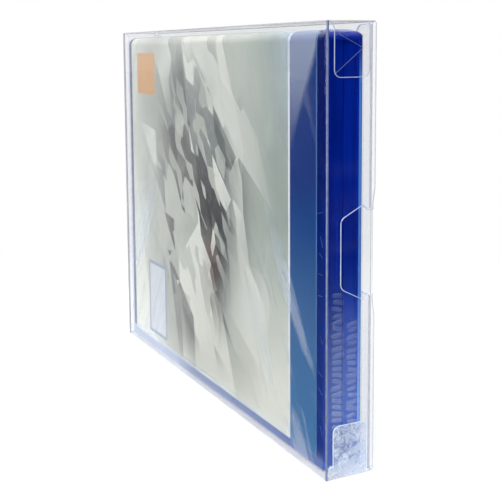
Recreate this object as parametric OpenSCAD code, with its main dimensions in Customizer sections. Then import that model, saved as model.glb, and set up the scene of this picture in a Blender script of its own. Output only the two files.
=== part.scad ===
// Clear folding box protector with the sealed game case that it holds.
// X runs along the box, Y through its thickness and Z up. The front panel is at -Y.
// The origin is the middle of the base.

/* [Held case] */
// Length of the case shell along the box
case_l = 170.4; // [160:0.2:185]
// Thickness of the closed case shell
case_t = 13.2; // [10:0.1:20]
// Height of the case shell from its opening edge to its spine
case_h = 134.4; // [120:0.2:150]
// Corner radius of the case seen from the front
case_corner_r = 2.6; // [2:0.1:5]
// Radius along the case's edges at its opening side and its ends
case_edge_r = 1.1; // [0.6:0.1:1.8]
// Radius along both edges of the spine
spine_r = 3.0; // [2:0.1:4]
// Thickness of each cover plate where it overhangs the side walls
cover_lip_t = 1.8; // [1.4:0.1:3]
// How far the side walls stand back from the cover plates
wall_inset = 0.9; // [0.4:0.1:1.5]
// Width of the groove where the two halves meet
parting_w = 0.5; // [0.3:0.1:0.8]
// Depth of the groove where the two halves meet
parting_d = 0.6; // [0.3:0.1:1]

/* [Cover and wrap] */
// Thickness of the printed cover sheet
sheet_t = 0.15; // [0.1:0.01:0.2]
// Margin from the end of the case to the printed sheet
sheet_end_margin = 4.8; // [3.5:0.1:8]
// Margin from the opening edge of the case to the printed sheet
sheet_edge_margin = 3.4; // [2.5:0.1:6]
// Thickness of the clear pocket over the sheet
pocket_t = 0.12; // [0.1:0.01:0.2]
// Margin from the end of the case to the pocket
pocket_end_margin = 2.4; // [1.5:0.1:3]
// Margin from the opening edge of the case to the pocket
pocket_edge_margin = 1.6; // [1.2:0.1:2.2]
// Thickness of the shrink wrap
wrap_t = 0.1; // [0.06:0.01:0.15]
// Diameter of the air holes in the back of the shrink wrap
vent_d = 1.4; // [1:0.1:3]
// Distance between the two air holes
vent_pitch = 60; // [30:1:100]
// Air left between one layer and the next
layer_gap = 0.03; // [0.02:0.01:0.05]

/* [Box film] */
// Thickness of the clear film
film = 0.4; // [0.3:0.05:0.5]
// Outside radius of the long folds
fold_r = 0.55; // [0.5:0.05:0.9]
// Width of the glued seam flap on the base
seam_w = 10; // [6:0.5:12]
// How far the base panel's free edge stops short of the back
seam_step = 0.3; // [0.1:0.05:0.6]

/* [Room in the box] */
// Room between the front panel and the wrapped case
front_room = 0.3; // [0.2:0.05:1]
// Room between the back panel and the tongue
tongue_back_room = 0.95; // [0.9:0.05:1.6]
// Room between the tongue and the wrapped case
tongue_case_room = 0.55; // [0.4:0.05:1.2]
// Room above the wrapped case
top_room = 2.0; // [0.5:0.1:4]
// Gap under the wrapped case where it rests on the seam flap
rest_gap = 0.05; // [0.03:0.01:0.1]
// Room between the closure and the end of the wrapped case
near_room = 1.8; // [1.6:0.1:4]
// Room between the other closure and the other end of the case
far_room = 2.4; // [1.6:0.1:5]

/* [Closures] */
// Gap between the closure and the flaps under it
under_gap = 0.1; // [0.06:0.01:0.2]
// How far the closure stops short of the top and the base
closure_edge_gap = 0.3; // [0.1:0.05:0.8]
// Length of the tuck tongue
tongue_l = 8.5; // [6:0.1:8.6]
// How far the tongue stops short of the top and the base
tongue_inset = 1.0; // [0.8:0.1:3]
// Radius of the tongue's outer corners
tongue_corner_r = 3; // [1:0.1:4]
// Radius of the tongue's corners beside the notch
notch_corner_r = 1.5; // [0.5:0.1:3]
// Room between the notch and the neck of the catch tab
notch_room = 0.4; // [0.3:0.05:1]
// Free space left at each crease
crease_gap = 0.05; // [0.04:0.01:0.08]
// Length of the groove on the inside of the tongue's crease
crease_bevel = 0.45; // [0.42:0.01:0.6]

/* [Dust flaps] */
// Length of a dust flap
dust_l = 16; // [8:0.5:30]
// How far a dust flap's edge stands back from the front panel
dust_front_inset = 2.8; // [2.6:0.1:5]
// Room between a dust flap and the tongue
dust_tongue_room = 0.4; // [0.35:0.05:1.2]
// Radius of a dust flap's free corners
dust_corner_r = 2.2; // [0.5:0.1:4]
// Radius of the relief where a dust flap leaves its fold
dust_relief_r = 2.2; // [0.5:0.1:2.3]

/* [Catch tab] */
// Height of the catch tab's neck at its fold
neck_h = 25.8; // [15:0.2:40]
// How much each shoulder stands past the neck
shoulder_step = 1.7; // [0.5:0.1:3]
// Distance from the back of the box to the shoulders
shoulder_y = 3.6; // [3:0.1:5]
// Length of the slope from the neck out to a shoulder
shoulder_slope = 1.4; // [0.5:0.1:2]
// How much each side of the tip stands inside the neck
tip_step = 1.4; // [0:0.1:4]
// Distance from the back of the box to the tab's tip
tab_reach = 11.5; // [8:0.1:13]
// Radius of the tip's corners
tab_tip_r = 2.4; // [0.5:0.1:3]
// How far the tab's fold is set back from the end of the box
tab_setback = 1.1; // [0.9:0.05:1.3]
// Height of the slope where the back panel's edge comes out again
setback_slope = 4.8; // [2:0.1:8]
// How far the back panel's edge stands back from the closure's face
back_edge_gap = 0.1; // [0.05:0.05:0.3]

/* [Hidden] */
$fn = 48;

// Stack of layers over the case shell
sheet_off = layer_gap;
pocket_off = sheet_off + sheet_t + layer_gap;
wrap_off = pocket_off + pocket_t + layer_gap;
wrap_out = wrap_off + wrap_t;

// Outside size of the box
box_l = film + near_room + wrap_out + case_l + wrap_out + far_room + film;
box_t = film + front_room + wrap_out + case_t + wrap_out + tongue_case_room + film
    + tongue_back_room + film;
box_h = film + film + rest_gap + wrap_out + case_h + wrap_out + top_room + film;

// Middle of the case shell
case_x = box_l / 2 - film - near_room - wrap_out - case_l / 2;
case_y = -box_t / 2 + film + front_room + wrap_out + case_t / 2;
case_z = film + film + rest_gap + wrap_out + case_h / 2;

// Ends of the panels and places of the creases
panel_end = box_l / 2 - film - under_gap;
crease_x = box_l / 2 - film / 2;
hinge_y = -box_t / 2 + film / 2;
tongue_y = box_t / 2 - film - tongue_back_room - film / 2;
mid_z = box_h / 2;
back_end = box_l / 2 - back_edge_gap;
tab_x = box_l / 2 - tab_setback;
dust_front = -box_t / 2 + dust_front_inset;
dust_back = tongue_y - film / 2 - dust_tongue_room;
joint_r = film / 2;
clear_film = [0.86, 0.9, 0.93, 0.35];

// Rectangle centred on the origin with round corners
module rounded_rect(w, h, r) {
    square([w - 2 * r, h], center = true);
    square([w, h - 2 * r], center = true);
    for (sx = [-1, 1], sy = [-1, 1])
        translate([sx * (w / 2 - r), sy * (h / 2 - r)]) circle(r);
}

// Y-Z outline of the closed case grown by d, with the rounder spine on top
module case_profile(d) {
    t = case_t + 2 * d;
    h = case_h + 2 * d;
    intersection() {
        rounded_rect(t, h, case_edge_r + d);
        translate([-t / 2, -h / 2]) square([t, h / 2]);
    }
    intersection() {
        rounded_rect(t, h, spine_r + d);
        translate([-t / 2, 0]) square([t, h / 2]);
    }
}

// Stands a Y-Z outline up and gives it a length along X from 0
module along_x(length) rotate([90, 0, 90]) linear_extrude(length) children();

// Stands an X-Z outline up with its faces at y and y - thickness
module plate_xz(y, thickness) translate([0, y, 0]) rotate([90, 0, 0]) linear_extrude(thickness) children();

// Cross-section of the folded box with the seam flap lying on the base panel
module box_section() {
    difference() {
        translate([0, box_h / 2]) rounded_rect(box_t, box_h, fold_r);
        translate([0, box_h / 2]) rounded_rect(box_t - 2 * film, box_h - 2 * film, fold_r - film);
        translate([box_t / 2 - seam_step, -film]) square([seam_step * 2, 2 * film]);
    }
    difference() {
        translate([box_t / 2 - seam_w, film / 2]) square([seam_w, film * 1.5]);
        translate([box_t / 2 - fold_r, film / 2]) square([fold_r * 2, fold_r * 2]);
    }
    intersection() {
        translate([box_t / 2 - fold_r, film + fold_r]) circle(fold_r);
        translate([box_t / 2 - fold_r, film]) square([fold_r, fold_r]);
    }
}

// Outline of a dust flap, fold at y = 0 and free edge downwards
module dust_outline() {
    flap_w = dust_back - dust_front;
    difference() {
        translate([(dust_front + dust_back) / 2, 0]) rounded_rect(flap_w, 2 * dust_l, dust_corner_r);
        translate([dust_front - 1, 0]) square([flap_w + 2, dust_l + 1]);
    }
    translate([dust_front - dust_relief_r, -dust_relief_r]) difference() {
        square([dust_relief_r, dust_relief_r]);
        circle(dust_relief_r);
    }
}

// Dust flap that hangs from the top panel at the +X end
module dust_flap() {
    fold_start = dust_front - dust_relief_r;
    translate([panel_end - film, 0, box_h - fold_r]) along_x(film) dust_outline();
    translate([panel_end - fold_r, 0, box_h - fold_r]) intersection() {
        rotate([90, 0, 0]) difference() {
            cylinder(r = fold_r, h = box_t, center = true);
            cylinder(r = fold_r - film, h = box_t * 2, center = true);
        }
        translate([0, fold_start, 0]) cube([fold_r, dust_back - fold_start, fold_r]);
    }
}

// Point where a line from p touches the circle of radius r around c
function touch_point(p, c, r) =
    let (v = p - c, turn = atan2(v[1], v[0]) - acos(r / norm(v)))
    c + r * [cos(turn), sin(turn)];

// Outline of the catch tab, fold at x = 0 and tip towards +x
module tab_outline() {
    corner = [tab_reach - tab_tip_r, neck_h / 2 - tip_step - tab_tip_r];
    shoulder = [shoulder_y, neck_h / 2 + shoulder_step];
    upper = [[film, neck_h / 2], [shoulder_y - shoulder_slope, neck_h / 2], shoulder,
        touch_point(shoulder, corner, tab_tip_r), corner, [tab_reach, corner[1]]];
    lower = [for (i = [len(upper) - 1:-1:0]) [upper[i][0], -upper[i][1]]];
    polygon(concat(upper, lower));
    for (s = [-1, 1]) translate([corner[0], s * corner[1]]) circle(tab_tip_r);
}

// Catch tab folded in from the back panel's edge at the +X end
module catch_tab() {
    translate([tab_x - film, box_t / 2, mid_z]) mirror([0, 1, 0]) along_x(film) tab_outline();
    translate([tab_x - film, box_t / 2 - film, mid_z]) intersection() {
        cylinder(r = film, h = neck_h, center = true);
        translate([0, 0, -neck_h / 2]) cube([film, film, neck_h]);
    }
}

// Cut that sets the back panel's edge back on both sides of the tab
module setback_cut() {
    low = neck_h / 2 + notch_room;
    plate_xz(box_t / 2 + 1, film + 1.5) translate([0, mid_z])
        polygon([[tab_x - film, -neck_h / 2], [tab_x, -neck_h / 2], [tab_x, -low - shoulder_step],
            [back_end, -low - shoulder_step - setback_slope],
            [back_end + 2, -low - shoulder_step - setback_slope],
            [back_end + 2, low + shoulder_step + setback_slope],
            [back_end, low + shoulder_step + setback_slope], [tab_x, low + shoulder_step],
            [tab_x, neck_h / 2], [tab_x - film, neck_h / 2]]);
}

// Part of the back panel that reaches past the other panels
module back_edge() {
    edge_h = box_h - film - 2 * fold_r;
    translate([panel_end - 1, 0, film + fold_r]) plate_xz(box_t / 2, film)
        square([back_end - panel_end + 1, edge_h]);
}

// Everything that the sleeve has at one end
module sleeve_end() {
    dust_flap();
    translate([0, 0, box_h]) mirror([0, 0, 1]) dust_flap();
    catch_tab();
}

// One folded sheet: four panels, glued seam flap, dust flaps and catch tabs
module sleeve() color(clear_film) {
    difference() {
        union() {
            translate([-panel_end, 0, 0]) along_x(2 * panel_end) box_section();
            back_edge();
            mirror([1, 0, 0]) back_edge();
        }
        setback_cut();
        mirror([1, 0, 0]) setback_cut();
    }
    sleeve_end();
    mirror([1, 0, 0]) sleeve_end();
}

// Closure at the +X end, creased along the front panel and along the tongue
module closure() {
    low = closure_edge_gap;
    high = box_h - closure_edge_gap;
    translate([crease_x - film / 2, hinge_y, low]) cube([film, tongue_y - hinge_y, high - low]);
    for (y = [hinge_y, tongue_y]) translate([crease_x, y, low]) cylinder(r = joint_r, h = high - low);
}

// Upper lobe of the tongue, with a groove on the inside of its crease
module tongue_lobe() {
    low = mid_z + neck_h / 2 + notch_room;
    high = box_h - tongue_inset;
    lobe_h = high - low;
    start = joint_r + crease_gap;
    intersection() {
        translate([crease_x, tongue_y, low]) linear_extrude(lobe_h)
            polygon([[-start, film / 2], [-tongue_l, film / 2], [-tongue_l, -film / 2],
                [-start - crease_bevel, -film / 2]]);
        plate_xz(tongue_y + film, 2 * film) union() {
            translate([crease_x - tongue_l, low + notch_corner_r])
                square([tongue_l, lobe_h - tongue_corner_r - notch_corner_r]);
            translate([crease_x - tongue_l + tongue_corner_r, low])
                square([tongue_l - tongue_corner_r, lobe_h]);
            translate([crease_x - tongue_l + notch_corner_r, low])
                square([tongue_corner_r, notch_corner_r]);
            translate([crease_x - tongue_l + tongue_corner_r, high - tongue_corner_r]) circle(tongue_corner_r);
            translate([crease_x - tongue_l + notch_corner_r, low + notch_corner_r]) circle(notch_corner_r);
        }
    }
}

// Tongue with its open notch for the catch tab's neck
module tongue() {
    tongue_lobe();
    translate([0, 0, box_h]) mirror([0, 0, 1]) tongue_lobe();
}

module closure_flap() color(clear_film) closure();
module tuck_tongue() color(clear_film) tongue();
module end_closure_flap() color(clear_film) mirror([1, 0, 0]) closure();
module end_tuck_tongue() color(clear_film) mirror([1, 0, 0]) tongue();

// Block with the outline of the case grown by d on every side
module case_block(d) intersection() {
    l = case_l + 2 * d;
    t = case_t + 2 * d;
    h = case_h + 2 * d;
    plate_xz(t / 2, t) rounded_rect(l, h, case_corner_r + d);
    translate([-l / 2, 0, 0]) along_x(l) case_profile(d);
    translate([0, 0, -h / 2]) linear_extrude(h) rounded_rect(l, t, case_edge_r + d);
}

// Moulded shell: two cover plates, side walls set back between them, and the spine on top
module case_shell() color([0.03, 0.12, 0.55, 0.9]) translate([case_x, case_y, case_z]) {
    channel_t = case_t - 2 * cover_lip_t;
    groove = wall_inset + parting_d;
    spine_t = spine_r;
    difference() {
        case_block(0);
        for (sx = [-1, 1]) {
            translate([sx * case_l / 2, 0, -spine_t])
                cube([2 * wall_inset, channel_t, case_h], center = true);
            translate([sx * case_l / 2, 0, -spine_t])
                cube([2 * groove, parting_w, case_h], center = true);
        }
        translate([0, 0, -case_h / 2]) cube([case_l * 2, channel_t, 2 * wall_inset], center = true);
        translate([0, 0, -case_h / 2]) cube([case_l - 2 * groove, parting_w, 2 * groove], center = true);
    }
}

// Sheet folded round the front, the spine and the back of the case
module wrapped_leaf(d, t, end_margin, edge_margin) {
    l = case_l - 2 * end_margin;
    translate([case_x - l / 2, case_y, case_z]) along_x(l) difference() {
        case_profile(d + t);
        case_profile(d);
        translate([-case_t, -case_h]) square([2 * case_t, case_h / 2 + edge_margin]);
    }
}

module cover_sheet() color([0.78, 0.82, 0.78])
    wrapped_leaf(sheet_off, sheet_t, sheet_end_margin, sheet_edge_margin);
module pocket_film() color([0.9, 0.93, 0.96, 0.3])
    wrapped_leaf(pocket_off, pocket_t, pocket_end_margin, pocket_edge_margin);

// Closed wrap with two air holes in its back
module shrink_wrap() color([0.85, 0.88, 0.95, 0.25]) translate([case_x, case_y, case_z])
    difference() {
        case_block(wrap_out);
        case_block(wrap_off);
        for (sx = [-1, 1]) translate([sx * vent_pitch / 2, case_t / 2, 0]) rotate([90, 0, 0])
            cylinder(d = vent_d, h = 4 * wrap_out, center = true);
    }

sleeve();
closure_flap();
tuck_tongue();
end_closure_flap();
end_tuck_tongue();
case_shell();
cover_sheet();
pocket_film();
shrink_wrap();
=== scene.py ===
# %% [markdown]
# A clear folding box stands on its long edge and protects a sealed disc case.
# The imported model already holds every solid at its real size, so this script
# loads it as a fixed frame and gives each surface its finish. Only the shrink
# wrap is modelled again, because real wrap is never as flat as a plain shell.

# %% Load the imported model
import math
import random

import bmesh
import bpy
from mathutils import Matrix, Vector
from mathutils.bvhtree import BVHTree


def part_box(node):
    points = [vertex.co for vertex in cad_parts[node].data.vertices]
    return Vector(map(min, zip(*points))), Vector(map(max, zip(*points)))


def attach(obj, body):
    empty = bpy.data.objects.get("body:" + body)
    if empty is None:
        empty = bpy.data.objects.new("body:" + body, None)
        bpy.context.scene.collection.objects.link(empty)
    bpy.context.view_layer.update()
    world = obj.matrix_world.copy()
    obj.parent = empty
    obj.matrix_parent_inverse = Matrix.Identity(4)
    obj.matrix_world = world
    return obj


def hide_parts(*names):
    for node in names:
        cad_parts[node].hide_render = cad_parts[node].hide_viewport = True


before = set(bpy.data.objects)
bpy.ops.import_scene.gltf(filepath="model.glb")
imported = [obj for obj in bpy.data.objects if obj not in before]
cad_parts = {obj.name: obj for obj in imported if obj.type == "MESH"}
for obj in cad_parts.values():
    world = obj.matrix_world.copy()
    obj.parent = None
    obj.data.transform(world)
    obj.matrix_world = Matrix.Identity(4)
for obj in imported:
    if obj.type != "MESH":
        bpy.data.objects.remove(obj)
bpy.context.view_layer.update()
MM = 0.001
print("nodes:", sorted(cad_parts))

# %% [markdown]
# The camera stands close to the end of the box, a little below its top edge.
# Product shots keep upright lines upright by tilting the camera only a little
# and shifting the lens for the rest, so both are used here.

# %% Camera
camera_place = Vector((325.6, -152.8, 129.4)) * MM
camera_azimuth = math.radians(63.3)
camera_tilt = math.radians(-6.7)
camera_roll = math.radians(0.38)
camera_lens = 68.95
camera_shift = -0.17

camera_data = bpy.data.cameras.new("camera")
camera_data.sensor_width = 36
camera_data.lens = camera_lens
camera_data.shift_y = camera_shift
camera_data.clip_start = 0.01
camera_data.clip_end = 50
camera = bpy.data.objects.new("camera", camera_data)
camera.location = camera_place
camera.rotation_euler = (math.pi / 2 + camera_tilt, camera_roll, camera_azimuth)
bpy.context.scene.collection.objects.link(camera)
bpy.context.scene.camera = camera
print("camera at", [round(v / MM) for v in camera_place], "mm")

# %% [markdown]
# Node trees are wordy, so a few small helpers carry the rest of the script.
# One adds a node and wires or sets its inputs, one does arithmetic, one turns
# a value into a soft mask between two limits and one blends two colours. They
# work alike in shader trees and in Geometry Nodes trees.

# %% Helpers for node trees
def add(tree, kind, inputs=None, **settings):
    node = tree.nodes.new(kind)
    for key, value in settings.items():
        setattr(node, key, value)
    for key, value in (inputs or {}).items():
        if isinstance(value, bpy.types.NodeSocket):
            tree.links.new(value, node.inputs[key])
        else:
            node.inputs[key].default_value = value
    return node


def calc(tree, operation, first, second=0.0, clamp=False):
    inputs = {0: first, 1: second}
    return add(tree, "ShaderNodeMath", inputs, operation=operation, use_clamp=clamp).outputs[0]


def ramp(tree, value, low, high, start=0.0, end=1.0, smooth=False):
    node = add(tree, "ShaderNodeMapRange", {0: value, 1: low, 2: high, 3: start, 4: end})
    if smooth:
        node.interpolation_type = "SMOOTHSTEP"
    return node.outputs[0]


def between(tree, value, low, high, soft=0.05 * MM):
    rising = ramp(tree, value, low - soft, low + soft)
    falling = ramp(tree, value, high - soft, high + soft, 1.0, 0.0)
    return calc(tree, "MULTIPLY", rising, falling)


def blend_colour(tree, factor, first, second):
    node = add(tree, "ShaderNodeMix", {0: factor}, data_type="RGBA")
    for index, value in ((6, first), (7, second)):
        if isinstance(value, bpy.types.NodeSocket):
            tree.links.new(value, node.inputs[index])
        else:
            node.inputs[index].default_value = (*value, 1.0)
    return node.outputs[2]


# %% [markdown]
# Every material starts as an empty tree and ends in an output node. Patterns
# are placed by Object coordinates, which are real distances from the centre
# of the box. They stay put when a flap swings, and they need no unwrapping.

# %% Start, place and finish a material
def new_material(name):
    material = bpy.data.materials.new(name)
    material.use_nodes = True
    material.node_tree.nodes.clear()
    return material, material.node_tree


def where_of(tree):
    return add(tree, "ShaderNodeTexCoord").outputs["Object"]


def axes_of(tree, where):
    split = add(tree, "ShaderNodeSeparateXYZ", {0: where}).outputs
    return split[0], split[1], split[2]


def finish_material(material, shader):
    add(material.node_tree, "ShaderNodeOutputMaterial", {"Surface": shader})
    print(material.name, "is made of", len(material.node_tree.nodes), "nodes")


# %% [markdown]
# Every film here is a little wavy, because thin sheet never lies quite flat.
# A noise that only tilts the surface is enough for that. Several films need
# it, so it is built once as a node group and shared.

# %% Shared waves
def wave_group():
    group = bpy.data.node_groups.new("soft_waves", "ShaderNodeTree")
    for name in ("Scale", "Distance"):
        group.interface.new_socket(name=name, in_out="INPUT", socket_type="NodeSocketFloat")
    group.interface.new_socket(name="Normal", in_out="OUTPUT", socket_type="NodeSocketVector")
    group.interface.new_socket(name="Patches", in_out="OUTPUT", socket_type="NodeSocketFloat")
    given = add(group, "NodeGroupInput").outputs
    noise_inputs = {"Vector": where_of(group), "Scale": given["Scale"], "Detail": 3.0}
    noise = add(group, "ShaderNodeTexNoise", noise_inputs).outputs[0]
    bump = add(group, "ShaderNodeBump", {"Height": noise, "Distance": given["Distance"]})
    patches = ramp(group, noise, 0.45, 0.75)
    add(group, "NodeGroupOutput", {"Normal": bump.outputs[0], "Patches": patches})
    return group


soft_waves = wave_group()
print("wave group:", [item.name for item in soft_waves.interface.items_tree])


def waves_of(tree, scale, distance):
    inputs = {"Scale": scale, "Distance": distance}
    return add(tree, "ShaderNodeGroup", inputs, node_tree=soft_waves).outputs


# %% [markdown]
# Clear film is mostly a matter of what it reflects. A thin transparent wall
# takes the white room at a glancing angle and lets everything through when it
# is seen square on. Refraction could be traced, but in a wall this thin it
# shifts nothing, so a mirror is mixed into a clear shader by the angle alone.

# %% Clear films
def mirror_share(tree, square_on, glancing, normal):
    """Rises steeply towards a glancing angle, alike for both faces of a thin wall."""
    facing = add(tree, "ShaderNodeLayerWeight", {"Blend": 0.5, "Normal": normal}).outputs["Facing"]
    return ramp(tree, calc(tree, "POWER", facing, 5.0), 0.0, 1.0, square_on, glancing)


milk_colour = (0.74, 0.84, 1.0, 1)


def thin_film(tree, tint, shares, roughness, normal, milk_share=0.0):
    mirror = mirror_share(tree, *shares, normal)
    clear = add(tree, "ShaderNodeBsdfTransparent", {"Color": (*tint, 1)}).outputs[0]
    gloss = add(tree, "ShaderNodeBsdfGlossy", {"Roughness": roughness, "Normal": normal}).outputs[0]
    milk = add(tree, "ShaderNodeBsdfDiffuse", {"Color": milk_colour, "Normal": normal}).outputs[0]
    body = add(tree, "ShaderNodeMixShader", {0: milk_share, 1: clear, 2: milk}).outputs[0]
    return add(tree, "ShaderNodeMixShader", {0: mirror, 1: body, 2: gloss}).outputs[0]


def clear_film(name, tint, shares, roughness, waves):
    material, tree = new_material(name)
    normal = waves_of(tree, *waves)["Normal"]
    finish_material(material, thin_film(tree, tint, shares, roughness, normal))
    return material


box_film = clear_film("clear_box_film", (0.988, 0.99, 0.994), (0.024, 0.9), 0.02, (18.0, 0.0005))
pocket = clear_film("clear_pocket_film", (0.985, 0.988, 0.99), (0.012, 0.2), 0.12, (40.0, 0.0002))

# %% [markdown]
# The lower dust flaps press on crumpled wrap and scatter light in many small creases. Real creases wander,
# so they are drawn as the lines along which a noise passes through its middle value. Two widths of dark
# lines cut up a milky haze, and one set of bright lines lies over it. The haze is the crumpled film's own,
# and the dark and bright lines are painted shade and painted highlights of the creases.

# %% Crumpled lower dust flaps
def wandering_lines(tree, where, scale, width):
    """Thin winding lines, dark at 0, where a noise passes through its middle value."""
    inputs = {"Vector": where, "Scale": scale, "Detail": 4.0, "Roughness": 0.6}
    noise = add(tree, "ShaderNodeTexNoise", inputs).outputs[0]
    off_middle = calc(tree, "ABSOLUTE", calc(tree, "SUBTRACT", noise, 0.5))
    return ramp(tree, off_middle, 0.0, width)


dust_flap_top = 17 * MM


def scuffed_film(name):
    material, tree = new_material(name)
    normal = waves_of(tree, 260.0, 0.0003)["Normal"]
    where = where_of(tree)
    x, y, z = axes_of(tree, where)
    fade = ramp(tree, z, 0.0, dust_flap_top, 0.64, 0.52)
    fade = calc(tree, "MULTIPLY", fade, ramp(tree, y, 5.4 * MM, 6.0 * MM, 1.0, 0.5))
    wide = wandering_lines(tree, where, 75.0, 0.04)
    narrow = wandering_lines(tree, where, 150.0, 0.03)
    # Painted shade and painted highlights of the creases, cut into the film's own haze.
    crease_shade = ramp(tree, calc(tree, "MULTIPLY", wide, narrow), 0.0, 1.0, 0.18, 1.06)
    crease_highlight = calc(tree, "SUBTRACT", 1.0, wandering_lines(tree, where, 105.0, 0.03))
    milk_share = calc(tree, "MULTIPLY", fade, crease_shade)
    milk_share = calc(tree, "ADD", milk_share, calc(tree, "MULTIPLY", crease_highlight, 0.4), True)
    finish_material(material, thin_film(tree, (0.99, 0.99, 1.0), (0.03, 0.9), 0.08, normal, milk_share))
    return material


scuffed = scuffed_film("scuffed_dust_flap")

# %% [markdown]
# Cut edges, creases and rims of clear film look pale on something dark and grey against a white room. Paint
# alone would look pale on both, so a share of pale paint is mixed with a clear shader that dims what stands
# behind it. On creases the pale paint is whitened film, on cut edges it is a painted glint of the light they
# catch, and on crushed rims it is both. A little emission, where it is set, is a painted glow, and a line
# can be made fainter towards the top.

# %% Pale lines
def pale_line(name, colour, cover, dim, painted_glow=0.0, top_share=1.0):
    material, tree = new_material(name)
    where = where_of(tree)
    z = axes_of(tree, where)[2]
    noise = add(tree, "ShaderNodeTexNoise", {"Vector": where, "Scale": 700.0, "Detail": 2.0})
    strength = ramp(tree, noise.outputs[0], 0.3, 0.7, cover * 0.8, min(1.0, cover * 1.15))
    fading = ramp(tree, z, 30 * MM, 110 * MM, 1.0, top_share)
    strength = calc(tree, "MULTIPLY", strength, fading)
    clear = add(tree, "ShaderNodeBsdfTransparent", {"Color": (dim, dim, dim * 1.03, 1)}).outputs[0]
    # The pale paint is whitened film or a painted glint, and its emission, when set, is a painted glow.
    paint = add(tree, "ShaderNodeBsdfPrincipled", {
        "Base Color": (*colour, 1),
        "Roughness": 0.4,
        "Specular IOR Level": 0.2,
        "Emission Color": (*colour, 1),
        "Emission Strength": painted_glow,
    }).outputs[0]
    line = add(tree, "ShaderNodeMixShader", {0: strength, 1: clear, 2: paint}).outputs[0]
    finish_material(material, line)
    return material


# Cut edges: the pale paint is a painted glint.
cut_edge = pale_line("cut_edge_of_film", (0.72, 0.78, 0.90), 0.5, 0.68)
crease = pale_line("whitened_crease", (0.66, 0.69, 0.76), 0.3, 0.66)

# %% [markdown]
# The film's cut edges are as narrow as the film is thick. The script finds
# them on each solid: it gathers faces that join smoothly into one region, and
# a region whose width is about one film thickness is a cut edge. The width is
# twice the region's area over the length of its rim, which holds for strips.

# %% Find flat regions on a folded film
film_t = 0.4 * MM
weld = 0.001 * MM


def smooth_group(first, seen, bend):
    """The face and all faces that join it without a bend. They are marked as seen."""
    group = []
    queue = [first]
    seen.add(first.index)
    while queue:
        face = queue.pop()
        group.append(face)
        for edge in face.edges:
            for other in edge.link_faces:
                if other.index not in seen and face.normal.angle(other.normal, 3.2) < bend:
                    seen.add(other.index)
                    queue.append(other)
    return group


def flat_regions(mesh, bend=math.radians(30)):
    bm = bmesh.new()
    bm.from_mesh(mesh)
    bmesh.ops.remove_doubles(bm, verts=bm.verts, dist=weld)
    bm.faces.ensure_lookup_table()
    seen = set()
    regions = []
    for first in bm.faces:
        if first.index in seen:
            continue
        group = smooth_group(first, seen, bend)
        inside = set(face.index for face in group)
        area = sum(face.calc_area() for face in group)
        rim = sum(edge.calc_length() for face in group for edge in face.edges
                  if sum(other.index in inside for other in edge.link_faces) == 1)
        centres = [face.calc_center_median().copy() for face in group]
        regions.append((centres, 2 * area / max(rim, 1e-9)))
    bm.free()
    return regions


print("a cut edge is about", film_t / MM, "mm wide")

# %% [markdown]
# Each face then gets one of four finishes: clear, cut edge, crease or
# crumpled. Faces that turn between two panels are the creases. The solids
# stay as they came from the CAD, and only the material index changes.

# %% Dress the folded film
cut_index = 1
crease_index = 2
scuffed_index = 3
dust_flap_inside = 87.2 * MM
dust_flap_outside = 87.7 * MM


def face_key(point):
    return tuple(round(c / (0.002 * MM)) for c in point)


def finish_index(polygon, thin):
    slanted = max(abs(c) for c in polygon.normal) < 0.995
    on_dust_flap = dust_flap_inside < abs(polygon.center.x) < dust_flap_outside
    if thin.get(face_key(polygon.center), False):
        return cut_index
    if slanted:
        return crease_index
    if on_dust_flap and polygon.center.z < dust_flap_top:
        return scuffed_index
    return 0


def dress_film(node_name):
    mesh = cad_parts[node_name].data
    mesh.materials.clear()
    for material in (box_film, cut_edge, crease, scuffed):
        mesh.materials.append(material)
    thin = {}
    for centres, width in flat_regions(mesh):
        for centre in centres:
            thin[face_key(centre)] = width < 1.05 * film_t
    counts = [0, 0, 0, 0]
    for polygon in mesh.polygons:
        polygon.material_index = finish_index(polygon, thin)
        counts[polygon.material_index] += 1
    print(node_name, "faces clear, cut, creased, scuffed:", counts)


for film_node in ("sleeve", "closure_flap", "tuck_tongue", "end_closure_flap", "end_tuck_tongue"):
    dress_film(film_node)

# %% [markdown]
# The disc case is moulded in a clear plastic dyed deep blue. It looks almost black where it is thick and
# glows where light leaks in near its edges. True glass with dye inside would be slow and noisy, so the blue
# is painted by place, as painted light: streaky and bright on the narrow ends and in its grooves, for light
# that leaks in from the side, and near black on the front, darker towards its top.

# %% Blues of the case by place
case_low, case_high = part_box("case_shell")
case_middle_y = (case_low[1] + case_high[1]) / 2


def side_light_mask(tree, x, y):
    """1 on the narrow ends, and near the middle of the case's thickness where its grooves lie. There the
    colour is painted light: light that comes in from the side, and fill for the grooves' shade.
    """
    geometry = add(tree, "ShaderNodeNewGeometry").outputs["Normal"]
    normal_x = axes_of(tree, geometry)[0]
    faces_end = ramp(tree, calc(tree, "ABSOLUTE", normal_x), 0.85, 0.99)
    off_middle = calc(tree, "ABSOLUTE", calc(tree, "SUBTRACT", y, case_middle_y))
    in_groove = ramp(tree, off_middle, 4.9 * MM, 5.2 * MM, 1.0, 0.0)
    return calc(tree, "MAXIMUM", faces_end, in_groove)


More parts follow.
